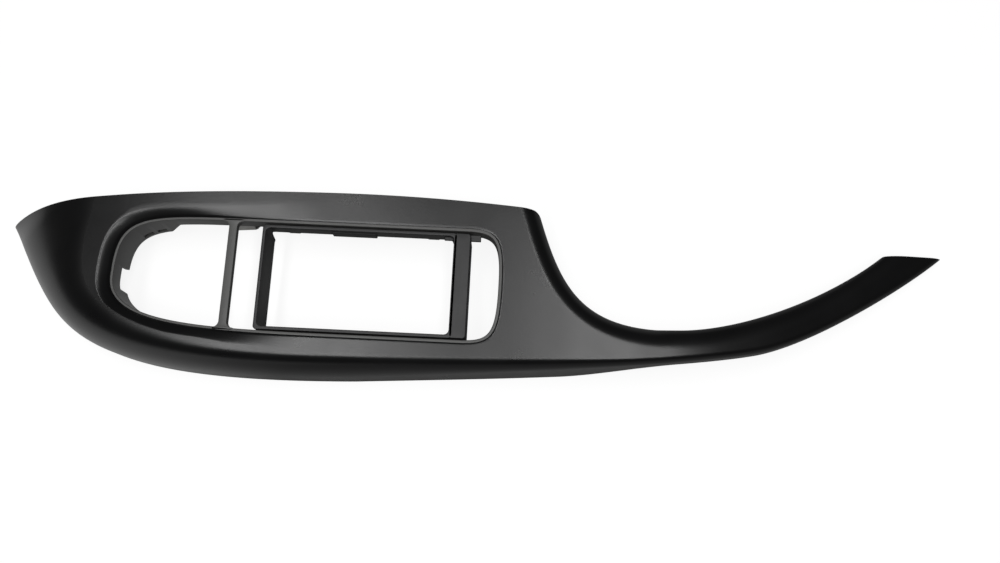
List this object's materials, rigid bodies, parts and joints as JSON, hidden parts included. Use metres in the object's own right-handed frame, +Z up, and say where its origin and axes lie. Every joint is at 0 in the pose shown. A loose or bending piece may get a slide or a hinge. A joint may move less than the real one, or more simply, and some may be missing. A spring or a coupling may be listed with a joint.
{
  "type": "car door pull handle with switch bezel",
  "caption": "Curved car door pull handle moulded in one with a hollow bezel for the window switches; a screwed switch frame, a lower grip shell and spring clips.",
  "frame": {"origin": "middle of the part's box, on the plane of its lower rim", "axes": "+X along the part to the grip's tip, +Y towards the door, +Z up through the switch deck"},
  "size_m": [0.482, 0.09, 0.0379],
  "materials": {
    "soft_black": "satin black with a very fine grain",
    "frame_grey": "plain moulded dark grey, slightly smoother than the panel",
    "zinc_steel": "zinc-plated steel"
  },
  "bodies": {
    "root": {"panel_shell": "soft_black", "switch_frame": "frame_grey", "grip_lower_shell": "soft_black", "frame_screws": "zinc_steel", "grip_screws": "zinc_steel", "spring_clip_1": "zinc_steel", "spring_clip_2": "zinc_steel", "spring_clip_3": "zinc_steel", "spring_clip_4": "zinc_steel", "spring_clip_5": "zinc_steel"}
  },
  "joints": []
}
